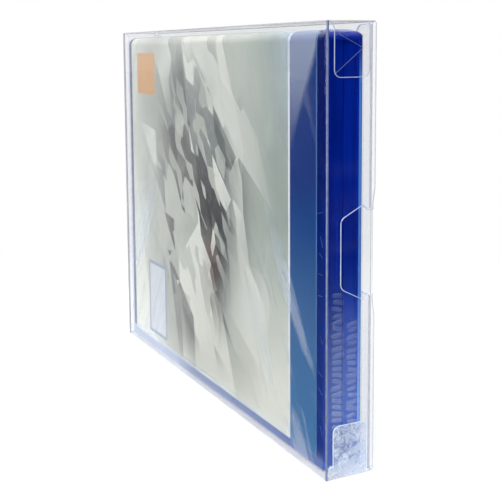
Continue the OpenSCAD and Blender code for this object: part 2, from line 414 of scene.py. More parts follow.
def deep_blue(tree, x, y, z, side_lit):
    flat_x = calc(tree, "MULTIPLY", x, 0.1)
    flat_z = calc(tree, "MULTIPLY", z, 0.06)
    stretched = add(tree, "ShaderNodeCombineXYZ", {0: flat_x, 1: y, 2: flat_z}).outputs[0]
    noise = add(tree, "ShaderNodeTexNoise", {"Vector": stretched, "Scale": 420.0, "Detail": 2.0})
    streaks = ramp(tree, noise.outputs[0], 0.35, 0.68)
    # Painted light: the ends and grooves get a brighter, streaky blue for light that leaks in from the side,
    # and the front is darker towards its top.
    end = blend_colour(tree, streaks, (0.0004, 0.012, 0.22), (0.0010, 0.022, 0.36))
    height = ramp(tree, z, 20 * MM, 110 * MM)
    front = blend_colour(tree, height, (0.002, 0.030, 0.25), (0.0004, 0.008, 0.13))
    return blend_colour(tree, side_lit, front, end)


print("case in mm:", [round((h - l) / MM, 1) for l, h in zip(case_low, case_high)])

# %% [markdown]
# Low down on the ends and along its base the case is given a lighter blue, a painted light from the table,
# and its rear plate, which stands against the light, is given a lighter blue as a painted backlight glow
# along its edge. A little emission of the same blue is painted light too: it stands for light inside the
# dyed plastic and keeps its narrow grooves from going black.

# %% Finish of the blue case
def blue_case():
    material, tree = new_material("blue_case_plastic")
    x, y, z = axes_of(tree, where_of(tree))
    side_lit = side_light_mask(tree, x, y)
    deep = deep_blue(tree, x, y, z, side_lit)
    # Painted light from the table: a lighter blue low on the ends and along the base.
    rising = ramp(tree, z, case_low[2] + 75 * MM, case_low[2] + 5 * MM, 0.0, 0.8, True)
    at_base = ramp(tree, z, 5.5 * MM, 4.5 * MM, 0.0, 0.45)
    table_light_mask = calc(tree, "MAXIMUM", calc(tree, "MULTIPLY", side_lit, rising), at_base)
    lit = blend_colour(tree, table_light_mask, deep, (0.03, 0.15, 0.60))
    # Painted backlight: a lighter, glowing blue on the rear plate.
    painted_glow = blend_colour(tree, table_light_mask, (0.09, 0.26, 0.75), (0.22, 0.46, 0.95))
    behind = ramp(tree, y, 4.1 * MM, 4.3 * MM)
    backlight_mask = calc(tree, "MULTIPLY", behind, ramp(tree, z, 131 * MM, 122 * MM))
    colour = blend_colour(tree, backlight_mask, lit, painted_glow)
    # The emission is a painted glow, weak everywhere and stronger on the ends and in the grooves.
    shader = add(tree, "ShaderNodeBsdfPrincipled", {
        "Base Color": colour,
        "Roughness": 0.22,
        "IOR": 1.4,
        "Emission Color": colour,
        "Emission Strength": ramp(tree, side_lit, 0.0, 1.0, 0.02, 0.16),
    })
    finish_material(material, shader.outputs[0])
    return material


def use_material(node_name, material):
    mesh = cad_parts[node_name].data
    mesh.materials.clear()
    mesh.materials.append(material)


use_material("case_shell", blue_case())
use_material("pocket_film", pocket)

# %% [markdown]
# The printed sheet is paper behind the pocket. It carries a design of its own,
# drawn with distances and limits on the sheet in mm, so that every shape on it
# is a few numbers and no picture is needed.

# %% Places on the printed sheet
sheet_low, sheet_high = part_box("cover_sheet")
band_width = 16.5 * MM
rule_width = 1.1 * MM
rim_width = 0.45 * MM
soft = 0.1 * MM
band_low = sheet_high[0] - band_width
rule_low = band_low - rule_width


def block(tree, x, z, x_low, x_high, z_low, z_high):
    across = between(tree, x, x_low * MM, x_high * MM)
    upward = between(tree, z, z_low * MM, z_high * MM)
    return calc(tree, "MULTIPLY", across, upward)


def distance_to(tree, x, z, x_mid, z_mid, stretch=1.0):
    dx = calc(tree, "SUBTRACT", x, x_mid)
    dz = calc(tree, "MULTIPLY", calc(tree, "SUBTRACT", z, z_mid), stretch)
    squares = calc(tree, "ADD", calc(tree, "MULTIPLY", dx, dx), calc(tree, "MULTIPLY", dz, dz))
    return calc(tree, "SQRT", squares)


print("band starts", round(band_low / MM, 1), "mm from the middle, its rule", round(rule_low / MM, 1))

# %% [markdown]
# The ground is a pale mist that turns greyer towards the band, with a dark
# cloud at the top, a pale disc low down and one small ember of dull red.

# %% Mist behind the shards
def mist_noise(tree, where):
    inputs = {"Vector": where, "Scale": 20.0, "Detail": 5.0, "Roughness": 0.62}
    return add(tree, "ShaderNodeTexNoise", inputs).outputs[0]


def misty_ground(tree, x, z):
    sideways = ramp(tree, x, 15 * MM, 55 * MM)
    colour = blend_colour(tree, sideways, (0.80, 0.82, 0.73), (0.43, 0.49, 0.44))
    downward = ramp(tree, z, 75 * MM, 20 * MM)
    colour = blend_colour(tree, downward, colour, (0.90, 0.91, 0.81))
    from_cloud = distance_to(tree, x, z, -44 * MM, 118 * MM, 0.8)
    cloud = ramp(tree, from_cloud, 8 * MM, 40 * MM, 0.8, 0.0, True)
    colour = blend_colour(tree, cloud, colour, (0.30, 0.33, 0.30))
    from_disc = distance_to(tree, x, z, 38 * MM, 44 * MM)
    disc = ramp(tree, from_disc, 12.0 * MM, 12.6 * MM, 0.8, 0.0)
    return blend_colour(tree, disc, colour, (0.86, 0.87, 0.80))


def ember(tree, x, z, mist):
    from_ember = distance_to(tree, x, z, 4 * MM, 52 * MM, 0.6)
    near = ramp(tree, from_ember, 3 * MM, 9 * MM, 0.85, 0.0)
    return calc(tree, "MULTIPLY", near, ramp(tree, mist, 0.42, 0.6))


# %% [markdown]
# The shards are cells of six random patterns, from coarse to fine. All six are
# turned and squeezed alike, so that their cells lean one way. A layer keeps
# only cells with a high random value, has its own tone, and fades out at its
# own distance from the middle of the design.

# %% Shards
# scale of the cells, limits of the random value, reach in mm, tone
shard_layers = (
    (30.0, 0.30, 0.45, 80, (0.45, 0.48, 0.42)),
    (62.0, 0.50, 0.56, 58, (0.045, 0.058, 0.062)),
    (80.0, 0.70, 0.74, 72, (0.86, 0.88, 0.79)),
    (96.0, 0.58, 0.62, 50, (0.10, 0.125, 0.13)),
    (125.0, 0.56, 0.60, 46, (0.014, 0.019, 0.022)),
    (235.0, 0.66, 0.70, 46, (0.58, 0.60, 0.53)),
)


def leaning(tree, x, z, squeeze=0.42):
    """Coordinates turned by about a third of a right angle, and squeezed across the lean."""
    lean_cos = 0.84
    lean_sin = 0.54
    along = calc(tree, "ADD", calc(tree, "MULTIPLY", x, lean_cos), calc(tree, "MULTIPLY", z, lean_sin))
    across = calc(tree, "SUBTRACT", calc(tree, "MULTIPLY", z, lean_cos), calc(tree, "MULTIPLY", x, lean_sin))
    across = calc(tree, "MULTIPLY", across, squeeze)
    return add(tree, "ShaderNodeCombineXYZ", {0: along, 1: across}).outputs[0]


def shards(tree, where, x, z):
    mist = mist_noise(tree, where)
    colour = misty_ground(tree, x, z)
    turned = leaning(tree, x, z)
    centre = distance_to(tree, x, z, -14 * MM, 74 * MM, 0.72)
    thinned = ramp(tree, mist, 0.40, 0.66, 1.0, 0.55)
    for scale, low, high, reach, tone in shard_layers:
        cells = add(tree, "ShaderNodeTexVoronoi", {"Vector": turned, "Scale": scale})
        pick = add(tree, "ShaderNodeSeparateColor", {0: cells.outputs["Color"]}).outputs[1]
        inward = ramp(tree, centre, reach * 0.5 * MM, reach * MM, 1.0, 0.0, True)
        amount = calc(tree, "MULTIPLY", ramp(tree, pick, low, high), inward)
        amount = calc(tree, "MULTIPLY", amount, thinned)
        colour = blend_colour(tree, amount, colour, tone)
    return blend_colour(tree, ember(tree, x, z, mist), colour, (0.22, 0.045, 0.035))


print("shard layers:", len(shard_layers))

# %% [markdown]
# Over the shards lie a plain orange label, a bordered panel and, along the
# near end, a blue band with its pale rule. The band is darker at the top and
# lit at the bottom. The back carries plain panels on a dull ground.

# %% Print of the cover sheet
# x and z limits in mm and tone, from the lowest layer up
front_blocks = (
    (-73.0, -52.5, 112.0, 129.5, (0.74, 0.38, 0.13)),
    (-63.0, -43.0, 8.0, 40.0, (0.30, 0.36, 0.50)),
    (-61.6, -44.4, 9.4, 38.6, (0.72, 0.76, 0.80)),
)
back_blocks = (
    (-70, -8, 74, 122, (0.12, 0.16, 0.19)),
    (0, 52, 74, 122, (0.46, 0.50, 0.46)),
    (-70, 52, 16, 64, (0.62, 0.65, 0.64)),
)


def with_blocks(tree, x, z, colour, blocks):
    for *limits, tone in blocks:
        colour = blend_colour(tree, block(tree, x, z, *limits), colour, tone)
    return colour


def with_band(tree, x, z, colour):
    height = ramp(tree, z, sheet_low[2], sheet_high[2])
    darker = ramp(tree, height, 0.12, 0.66)
    band = blend_colour(tree, darker, (0.010, 0.165, 0.41), (0.016, 0.05, 0.24))
    past_rule = ramp(tree, x, rule_low - soft, rule_low)
    colour = blend_colour(tree, past_rule, colour, (0.97, 0.98, 0.98))
    past_band = ramp(tree, x, band_low - soft, band_low)
    colour = blend_colour(tree, past_band, colour, band)
    rim = ramp(tree, x, sheet_high[0] - rim_width, sheet_high[0] - rim_width + soft)
    return blend_colour(tree, rim, colour, (0.12, 0.27, 0.52))


def printed_sheet():
    material, tree = new_material("printed_cover_sheet")
    where = where_of(tree)
    x, y, z = axes_of(tree, where)
    front = with_blocks(tree, x, z, shards(tree, where, x, z), front_blocks)
    back = with_blocks(tree, x, z, (0.30, 0.35, 0.37), back_blocks)
    behind = ramp(tree, y, -0.5 * MM, 0.5 * MM)
    colour = with_band(tree, x, z, blend_colour(tree, behind, front, back))
    inputs = {"Base Color": colour, "Roughness": 0.45, "IOR": 1.35}
    finish_material(material, add(tree, "ShaderNodeBsdfPrincipled", inputs).outputs[0])
    return material


use_material("cover_sheet", printed_sheet())

# %% [markdown]
# Shrink wrap is a bag that was heated until it pulled tight. It lies flat over
# the large faces and puckers over the narrow ends, where the surplus film has
# gathered. A cloth simulation could make the puckers, but a formula is easier
# to steer. It lifts the film in soft waves that are higher near the bottom.

# %% Waves of the wrap on the narrow ends
random.seed(11)


def soft_waves_on_end():
    waves = []
    z = 6.0
    while z < 118:
        fade = max(0.15, 1 - z / 95)
        waves.append((random.uniform(-4, 3) * MM, z * MM, random.uniform(-0.4, 0.4),
                      random.uniform(0.04, 0.12) * fade * MM, random.uniform(0.8, 1.7) * MM))
        z += random.uniform(2.0, 4.2)
    return waves


end_waves = soft_waves_on_end()
print("waves on each end:", len(end_waves))


def wave_lift(y, z):
    total = 0.0
    for y_mid, z_mid, slant, height, width in end_waves:
        if abs(z - z_mid) < 5 * MM:
            across = math.exp(-((y - y_mid) / (3.2 * MM)) ** 2)
            total += height * across * math.exp(-((z - z_mid - slant * (y - y_mid)) / width) ** 2)
    return total


# %% [markdown]
# The bag's corners are folded flat over the ends, and each fold is a low
# diagonal ridge. The ridges are lifted in the same way as the waves.

# %% Folds of the wrap on the narrow ends
# start and end of each fold, as y and z in mm
diagonals = (
    (-4.8, 122.8, 5.2, 130.6),
    (-3.2, 134.6, 5.2, 130.6),
    (-5.4, 12.0, 5.4, 2.8),
    (-5.4, 2.8, 5.4, 12.4),
)
fold_height = 0.16 * MM
fold_width_mm = 0.35


def fold_lift(y, z):
    total = 0.0
    for y_a, z_a, y_b, z_b in diagonals:
        along = Vector(((y_b - y_a), (z_b - z_a)))
        away = Vector((y / MM - y_a, z / MM - z_a))
        share = away.dot(along) / along.length_squared
        if -0.05 < share < 1.05:
            off = abs(away.x * along.y - away.y * along.x) / along.length
            total += fold_height * math.exp(-(off / fold_width_mm) ** 2)
    return total


print("folds on each end:", len(diagonals))

# %% [markdown]
# The skin is a grid laid on the outside of the modelled wrap. It is coarse
# along the flat faces and fine across the ends and round the edges, where the
# shape changes. An even grid would need many more faces for the same detail.

# %% Grid of the skin
wrap_low, wrap_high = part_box("shrink_wrap")
wrap_middle = (Vector(wrap_low) + Vector(wrap_high)) / 2
wrap_half = (Vector(wrap_high) - Vector(wrap_low)) / 2
edge_round = 3.5 * MM
edge_steps = 6


def grid_lines(half, coarse):
    inner = half - edge_round
    steps = max(2, round(2 * inner / coarse))
    lines = [-inner + 2 * inner * i / steps for i in range(steps + 1)]
    rim = [half - edge_round + edge_round * (i + 1) / edge_steps for i in range(edge_steps)]
    return [-v for v in reversed(rim)] + lines + rim


xs = grid_lines(wrap_half.x, 3.5 * MM)
ys = grid_lines(wrap_half.y, 0.35 * MM)
zs = grid_lines(wrap_half.z, 0.4 * MM)
print("grid lines:", len(xs), len(ys), len(zs))

# %% [markdown]
# Each grid point is moved to the nearest place on the solid and, on the narrow
# ends, lifted by the formula. So the skin keeps the size that the CAD gave it.

# %% Skin of the shrink wrap
def lifted_point(shell, x, y, z):
    point = shell.find_nearest(Vector((x, y, z)) + wrap_middle)[0]
    if abs(abs(x) - wrap_half.x) < 1e-7:
        inset = min(1.0, (wrap_half.y - abs(y)) / (1.5 * MM))
        lift = wave_lift(point.y, point.z) + fold_lift(point.y, point.z)
        point.x += math.copysign(lift * inset, x)
    return point


def wrap_mesh(shell):
    bm = bmesh.new()
    made = {}

    def corner(x, y, z):
        key = (round(x, 7), round(y, 7), round(z, 7))
        if key not in made:
            made[key] = bm.verts.new(lifted_point(shell, x, y, z))
        return made[key]

    def side(us, vs, place):
        for i in range(len(us) - 1):
            for j in range(len(vs) - 1):
                loop = ((us[i], vs[j]), (us[i + 1], vs[j]), (us[i + 1], vs[j + 1]), (us[i], vs[j + 1]))
                bm.faces.new([corner(*place(u, v)) for u, v in loop])

    hx, hy, hz = wrap_half
    for s in (-1, 1):
        side(ys, zs, lambda u, v: (s * hx, u, v))
        side(xs, zs, lambda u, v: (u, s * hy, v))
        side(xs, ys, lambda u, v: (u, v, s * hz))
    bmesh.ops.recalc_face_normals(bm, faces=bm.faces)
    mesh = bpy.data.meshes.new("wrinkled_wrap")
    bm.to_mesh(mesh)
    bm.free()
    mesh.polygons.foreach_set("use_smooth", [True] * len(mesh.polygons))
    return mesh


wrap_solid = BVHTree.FromObject(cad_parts["shrink_wrap"], bpy.context.evaluated_depsgraph_get())
wrinkled = wrap_mesh(wrap_solid)
print("wrap skin faces:", len(wrinkled.polygons))

# %% [markdown]
# The wrap is clear film with haze in four places: patches low on the narrow ends, slanting drag marks on the
# large faces, a tight shining patch over the top of the band, and the doubled hem of the bag. The patches on
# the ends are partly the film's own haze and partly a painted reflection of the table, growing towards the
# bottom, and the shining patch is a painted sheen. Each is a small mask of its own, so that one can be
# changed without touching the others.

# %% Haze, painted reflection and painted sheen of the shrink wrap
def haze_and_reflection_on_ends(tree, z, ends, patches, high_milk, low_milk):
    # More milk towards the bottom: the film's own haze and a painted reflection of the table.
    low_down = ramp(tree, z, 64 * MM, 12 * MM, high_milk, low_milk, True)
    patchy = ramp(tree, patches, 0.0, 1.0, 0.65, 1.0)
    return calc(tree, "MULTIPLY", calc(tree, "MULTIPLY", ends, low_down), patchy)


def drag_marks(tree, x, z, away):
    up = calc(tree, "MULTIPLY", z, 0.55)
    along = calc(tree, "ADD", calc(tree, "MULTIPLY", away, 0.9), up)
    across = calc(tree, "SUBTRACT", calc(tree, "MULTIPLY", z, 0.16), calc(tree, "MULTIPLY", x, 0.1))
    slanted = add(tree, "ShaderNodeCombineXYZ", {0: along, 1: across}).outputs[0]
    inputs = {"Vector": slanted, "Scale": 95.0, "Detail": 3.0, "Distortion": 0.6}
    drag = add(tree, "ShaderNodeTexNoise", inputs).outputs[0]
    near_end = ramp(tree, away, 30 * MM, 66 * MM, 0.0, 0.34, True)
    low_part = ramp(tree, z, 96 * MM, 50 * MM, 0.25, 1.0, True)
    return calc(tree, "MULTIPLY", ramp(tree, drag, 0.53, 0.66), calc(tree, "MULTIPLY", near_end, low_part))


def shine_over_band(tree, x, z):
    """A patch of painted sheen at the top, bounded by a slanting line, and a thin veil on the lower half."""
    slope = calc(tree, "ADD", x, calc(tree, "MULTIPLY", z, -0.52))
    over_band = ramp(tree, x, 45 * MM, 68 * MM, 0.0, 0.27, True)
    shine = calc(tree, "MULTIPLY", ramp(tree, slope, 11.4 * MM, 14.4 * MM, 1.0, 0.0), over_band)
    shine = calc(tree, "MULTIPLY", shine, ramp(tree, z, 92 * MM, 132 * MM, 0.0, 1.3, True))
    on_band = ramp(tree, x, 64.0 * MM, 64.4 * MM)
    veil = calc(tree, "MULTIPLY", on_band, ramp(tree, z, 84 * MM, 36 * MM, 0.0, 0.07, True))
    return calc(tree, "MAXIMUM", shine, veil)


def hem_of_bag(tree, x, z):
    bottom = ramp(tree, z, 7.4 * MM, 5.4 * MM)
    bottom = calc(tree, "MULTIPLY", bottom, ramp(tree, x, -50 * MM, 84 * MM, 0.5, 0.1))
    return calc(tree, "MAXIMUM", bottom, ramp(tree, x, -81.0 * MM, -83.0 * MM, 0.0, 0.5))


# %% [markdown]
# The four masks are joined into one milk for the thin film: the film's own haze, with a painted reflection
# low on the ends and a painted sheen over the band. The same film is used twice: once for the tight skin,
# and once milkier for the film that is pinched on the narrow ends.

# %% Films of the shrink wrap
def wrap_film(name, high_milk, low_milk):
    material, tree = new_material(name)
    x, y, z = axes_of(tree, where_of(tree))
    waves = waves_of(tree, 150.0, 0.0003)
    away = calc(tree, "ABSOLUTE", x)
    ends = ramp(tree, away, 84.6 * MM, 85.2 * MM)
    end_haze_and_reflection = haze_and_reflection_on_ends(tree, z, ends, waves["Patches"], high_milk, low_milk)
    marks = calc(tree, "MAXIMUM", drag_marks(tree, x, z, away), shine_over_band(tree, x, z))
    on_sheet = ramp(tree, away, 80.2 * MM, 81.0 * MM, 1.0, 0.12)
    # The milk joins the film's own haze with the painted reflection and the painted sheen.
    milk_share = calc(tree, "ADD", end_haze_and_reflection, calc(tree, "MULTIPLY", marks, on_sheet))
    off_ends = ramp(tree, ends, 0.0, 1.0, 1.0, 0.0)
    milk_share = calc(tree, "MAXIMUM", milk_share, calc(tree, "MULTIPLY", hem_of_bag(tree, x, z), off_ends))
    film = thin_film(tree, (0.98, 0.983, 0.99), (0.025, 0.5), 0.07, waves["Normal"], milk_share)
    finish_material(material, film)
    return material


wrap_clear = wrap_film("shrink_wrap_film", 0.0, 0.04)
# The pinched film is milkier: its own gathered haze and a painted highlight on the pillows.
pinched = wrap_film("pinched_wrap_film", 0.09, 0.25)
skin = bpy.data.objects.new("wrinkled_wrap", wrinkled)
bpy.context.scene.collection.objects.link(skin)
skin.data.materials.append(wrap_clear)
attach(skin, "sleeve")
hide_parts("shrink_wrap")

# %% [markdown]
# Low on both ends the surplus film has gathered into two ladders of small pillows with tight creases between
# them, and the blue shows in the creases. The pillows are milky, partly from the gathered film's own haze
# and partly as a painted highlight.
# One pillow is a little sheet with a rise in its middle, bent by arithmetic.

# %% One pillow
def one_pillow(tree):
    """Two units long and wide, narrower and lower towards its tips."""
    size = {"Size X": 2.0, "Size Y": 2.0, "Vertices X": 11, "Vertices Y": 9}
    sheet = add(tree, "GeometryNodeMeshGrid", size).outputs["Mesh"]
    x, y, z = axes_of(tree, add(tree, "GeometryNodeInputPosition").outputs[0])
    along = calc(tree, "POWER", calc(tree, "ABSOLUTE", x), 4.0)
    across = calc(tree, "MULTIPLY", y, y)
    rise = calc(tree, "MULTIPLY", calc(tree, "SUBTRACT", 1.0, along), calc(tree, "SUBTRACT", 1.0, across))
    narrow = calc(tree, "MULTIPLY", y, ramp(tree, along, 0.0, 1.0, 1.0, 0.7))
    bent = add(tree, "ShaderNodeCombineXYZ", {0: x, 1: narrow, 2: rise}).outputs[0]
    pillow = add(tree, "GeometryNodeSetPosition", {"Geometry": sheet, "Position": bent})
    return add(tree, "GeometryNodeSetShadeSmooth", {"Geometry": pillow.outputs[0]}).outputs[0]


# %% [markdown]
# The pillow could be copied by hand, but Geometry Nodes set the copies along a
# line, and shift, turn and scale each one at random.

# %% Uneven copies along a line
def uneven_copies(tree, given, pillow):
    line = add(tree, "GeometryNodeMeshLine", {
        "Count": given["Count"], "Start Location": given["Start"], "Offset": given["Step"]}).outputs[0]
    most = (0, 0.3 * MM, 0.22 * MM)
    least = (0, -0.3 * MM, -0.22 * MM)
    limits = {"Min": least, "Max": most, "Seed": given["Seed"]}
    shift = add(tree, "FunctionNodeRandomValue", limits, data_type="FLOAT_VECTOR").outputs["Value"]
    placed = add(tree, "GeometryNodeSetPosition", {"Geometry": line, "Offset": shift}).outputs[0]
    limits = {2: -0.32, 3: 0.32, "Seed": given["Seed"]}
    lean = add(tree, "FunctionNodeRandomValue", limits, data_type="FLOAT").outputs[1]
    turn = add(tree, "ShaderNodeCombineXYZ", {0: math.pi / 2, 1: lean, 2: given["Turn"]}).outputs[0]
    limits = {2: 0.84, 3: 1.06, "Seed": calc(tree, "ADD", given["Seed"], 5.0)}
    growth = add(tree, "FunctionNodeRandomValue", limits, data_type="FLOAT").outputs[1]
    inputs = {0: given["Size"], "Scale": growth}
    scale = add(tree, "ShaderNodeVectorMath", inputs, operation="SCALE").outputs[0]
    return add(tree, "GeometryNodeInstanceOnPoints", {
        "Points": placed, "Instance": pillow, "Rotation": turn, "Scale": scale}).outputs[0]


# %% [markdown]
# The tree joins both steps. It ends by making the copies real and giving them
# their film, as every tree here does.

# %% Tree that grows a ladder of pillows
def end_tree(tree, geometry, material):
    solid = add(tree, "GeometryNodeRealizeInstances", {"Geometry": geometry}).outputs[0]
    painted = add(tree, "GeometryNodeSetMaterial", {"Geometry": solid, "Material": material})
    add(tree, "NodeGroupOutput", {"Geometry": painted.outputs[0]})


def pillow_tree():
    tree = bpy.data.node_groups.new("pinched_pillows", "GeometryNodeTree")
    for name in ("Count", "Seed"):
        tree.interface.new_socket(name=name, in_out="INPUT", socket_type="NodeSocketInt")
    for name in ("Start", "Step", "Size"):
        tree.interface.new_socket(name=name, in_out="INPUT", socket_type="NodeSocketVector")
    tree.interface.new_socket(name="Turn", in_out="INPUT", socket_type="NodeSocketFloat")
    tree.interface.new_socket(name="Geometry", in_out="OUTPUT", socket_type="NodeSocketGeometry")
    given = add(tree, "NodeGroupInput").outputs
    end_tree(tree, uneven_copies(tree, given, one_pillow(tree)), pinched)
    return tree


pillows = pillow_tree()
print("pillow tree has", len(pillows.nodes), "nodes")

# %% [markdown]
# A tree is run once on a mesh, and its result is kept as a plain mesh that
# rides one body and fills one slot. All four ladders are gathered into a
# single piece, because they lie on the same wrap.

# %% Grow a tree and place its mesh
def grow(tree, mesh, settings):
    grower = bpy.data.objects.new(mesh.name, mesh)
    bpy.context.scene.collection.objects.link(grower)
    modifier = grower.modifiers.new("grow", "NODES")
    modifier.node_group = tree
    for item in tree.interface.items_tree:
        if item.in_out == "INPUT" and item.name in settings:
            modifier[item.identifier] = settings[item.name]
    evaluated = grower.evaluated_get(bpy.context.evaluated_depsgraph_get())
    plain = bpy.data.meshes.new_from_object(evaluated)
    bpy.data.objects.remove(grower)
    return plain


def place_mesh(name, mesh, material, body):
    mesh.name = name
    mesh.materials.clear()
    mesh.materials.append(material)
    obj = bpy.data.objects.new(name, mesh)
    bpy.context.scene.collection.objects.link(obj)
    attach(obj, body)
    print(name, "has", len(mesh.polygons), "faces")


# %% [markdown]
# The two ladders stand side by side on each end, one in front of the middle
# and one behind it. They follow the photo in height, width and number.

# %% Ladders of pinched film
# middle in y, half length, lowest z, number of pillows
ladders = ((-3.3, 2.05, 15.5, 21), (1.9, 1.95, 16.5, 16))
pillow_step = 2.05
pillow_half_width = 0.81
pillow_rise = 0.42


def ladder(s, index):
    face_x = (wrap_high[0] if s > 0 else wrap_low[0]) + s * 0.01 * MM
    y_mid, reach, z_low, count = ladders[index]
    return grow(pillows, bpy.data.meshes.new("ladder"), {
        "Count": count,
        "Seed": 3 + index,
        "Turn": s * math.pi / 2,
        "Start": Vector((face_x, y_mid * MM, z_low * MM)),
        "Step": Vector((0, 0, pillow_step * MM)),
        "Size": Vector((reach, pillow_half_width, pillow_rise)) * MM,
    })


gathered = bmesh.new()
for s in (-1, 1):
    for index in range(len(ladders)):
        piece = ladder(s, index)
        gathered.from_mesh(piece)
        bpy.data.meshes.remove(piece)
pillow_mesh = bpy.data.meshes.new("pinched_pillows")
gathered.to_mesh(pillow_mesh)
gathered.free()
place_mesh("pinched_pillows", pillow_mesh, pinched, "sleeve")

# %% [markdown]
# A die cuts the film and leaves a crushed rim that catches light all along the outline of each flap. Its
# pale paint is partly whitened film and partly a painted glint, a little emission adds a painted glow, and
# the rims are fainter towards the top. A bevel would change the solids, so the rims are thin rods on the
# sharp edges. A second tree turns lines into rods, and the same tree serves later for creases, folds and
# scratches.

# %% Tree that turns lines into rods
# The crushed rim's pale paint is partly whitened film and partly a painted glint, and its emission of 0.35
# is a painted glow.
rim_film = pale_line("crushed_rim", (0.72, 0.82, 1.0), 0.95, 0.6, 0.35, 0.55)


def rim_tree():
    tree = bpy.data.node_groups.new("crushed_rims", "GeometryNodeTree")
    for name, kind in (("Geometry", "NodeSocketGeometry"), ("Radius", "NodeSocketFloat")):
        tree.interface.new_socket(name=name, in_out="INPUT", socket_type=kind)
    tree.interface.new_socket(name="Geometry", in_out="OUTPUT", socket_type="NodeSocketGeometry")
    given = add(tree, "NodeGroupInput").outputs
    paths = add(tree, "GeometryNodeMeshToCurve", {"Mesh": given["Geometry"]}).outputs[0]
    circle = {"Resolution": 6, "Radius": given["Radius"]}
    profile = add(tree, "GeometryNodeCurvePrimitiveCircle", circle).outputs[0]
    inputs = {"Curve": paths, "Profile Curve": profile, "Fill Caps": True}
    rods = add(tree, "GeometryNodeCurveToMesh", inputs).outputs[0]
    smooth = add(tree, "GeometryNodeSetShadeSmooth", {"Geometry": rods}).outputs[0]
    end_tree(tree, smooth, rim_film)
    return tree


rims = rim_tree()
print("rod tree has", len(rims.nodes), "nodes")

# %% [markdown]
# Only the flaps that lie inside the box get rims: the dust flaps, the catch
# tabs and the tongues. They are found by their distance from the middle.

# %% Flaps that lie inside the box
# distances from the middle of the box in mm
closure_inside_x = 87.75
dust_flap_x = 87.5
catch_tab_x = 87.06
flap_root_x = 86.6
tongue_x = 87.2
tongue_rim_x = 86.2


def on_inner_flap(middle, is_sleeve):
    away = abs(middle.x)
    in_walls = away < closure_inside_x * MM and abs(middle.y) < 8.4 * MM
    if not (in_walls and 0.7 * MM < middle.z < 137.9 * MM):
        return False
    if not is_sleeve:
        return away < tongue_x * MM
    on_tab = abs(away - catch_tab_x * MM) < 0.1 * MM
    return away > flap_root_x * MM and (away > dust_flap_x * MM or on_tab)


print("closures start", closure_inside_x, "mm from the middle")

# %% [markdown]
# The lines are the edges between a broad face and a cut edge. They come from
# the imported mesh, so each rim lies exactly on its flap. The rims of a tongue
# stop short of its crease, where they would cut into the closure.

# %% Crushed rims of the die-cut flaps
def inner_edges(node_name):
    is_sleeve = node_name == "sleeve"
    reach = (closure_inside_x if is_sleeve else tongue_rim_x) * MM
    bm = bmesh.new()
    bm.from_mesh(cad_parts[node_name].data)
    bmesh.ops.remove_doubles(bm, verts=bm.verts, dist=weld)
    lines = bmesh.new()
    for edge in bm.edges:
        middle = (edge.verts[0].co + edge.verts[1].co) / 2
        kinds = set(face.material_index for face in edge.link_faces)
        if cut_index in kinds and kinds & {0, scuffed_index} and on_inner_flap(middle, is_sleeve):
            ends = [vert.co.copy() for vert in edge.verts]
            for end in ends:
                end.x = max(-reach, min(reach, end.x))
            lines.edges.new([lines.verts.new(end) for end in ends])
    bm.free()
    bmesh.ops.remove_doubles(lines, verts=lines.verts, dist=weld)
    mesh = bpy.data.meshes.new("rim_lines")
    lines.to_mesh(mesh)
    lines.free()
    return mesh


rim_radius = 0.12 * MM
for node_name, body in (("sleeve", "sleeve"), ("tuck_tongue", "tongue"), ("end_tuck_tongue", "end_tongue")):
    rods = grow(rims, inner_edges(node_name), {"Radius": rim_radius})
    place_mesh("rims_of_" + node_name, rods, rim_film, body)

# %% [markdown]
# The film whitens where the closures bend along the front panel, and the fold between the front and the base
# is drawn pale in the rims' film, with its painted glint and painted glow. A bend in the solid is too narrow
# to hold that, so each is a rod along the bend. The crease rods end a little past the closures, which swing
# clear of their ends.

# %% Whitened creases and the pale base fold
def straight_lines(name, segments):
    bm = bmesh.new()
    for start, end in segments:
        bm.edges.new([bm.verts.new(Vector(point) * MM) for point in (start, end)])
    mesh = bpy.data.meshes.new(name)
    bm.to_mesh(mesh)
    bm.free()
    return mesh


crease_y = -8.18
crease_z = (0.15, 138.4)
crease_radius = 0.37 * MM
whitened = pale_line("whitened_closure_crease", (0.21, 0.28, 0.60), 0.85, 0.6)
for name, x, material in (("near_crease", 87.78, whitened), ("far_crease", -87.78, crease)):
    line = straight_lines(name, [((x, crease_y, crease_z[0]), (x, crease_y, crease_z[1]))])
    place_mesh(name, grow(rims, line, {"Radius": crease_radius}), material, "sleeve")

# The base fold is a painted glint and painted glow, in the rims' film.
base_line = straight_lines("base_fold", [((-87.4, -8.36, 0.2), (87.4, -8.36, 0.2))])
base_rod = grow(rims, base_line, {"Radius": 0.11 * MM})
place_mesh("base_fold", base_rod, rim_film, "sleeve")

# %% [markdown]
# The bag's own folds run across both ends at the top and the bottom, and a few
# faint pleats run on round the corner, onto the front. They are rods too, in
# dim blue paint. Real pleats are few and uneven, and even spacing looks like
# stitches, so the gaps, lengths and slants are random.

# %% Folds and pleats of the bag
bag_folds = []
for face_x in (wrap_low[0] / MM, wrap_high[0] / MM):
    for y_a, z_a, y_b, z_b in diagonals:
        bag_folds.append(((face_x, y_a, z_a), (face_x, y_b, z_b)))
faint = pale_line("faint_bag_fold", (0.30, 0.40, 0.80), 0.6, 0.9)
fold_rods = grow(rims, straight_lines("bag_folds", bag_folds), {"Radius": 0.09 * MM})
place_mesh("bag_folds", fold_rods, faint, "sleeve")

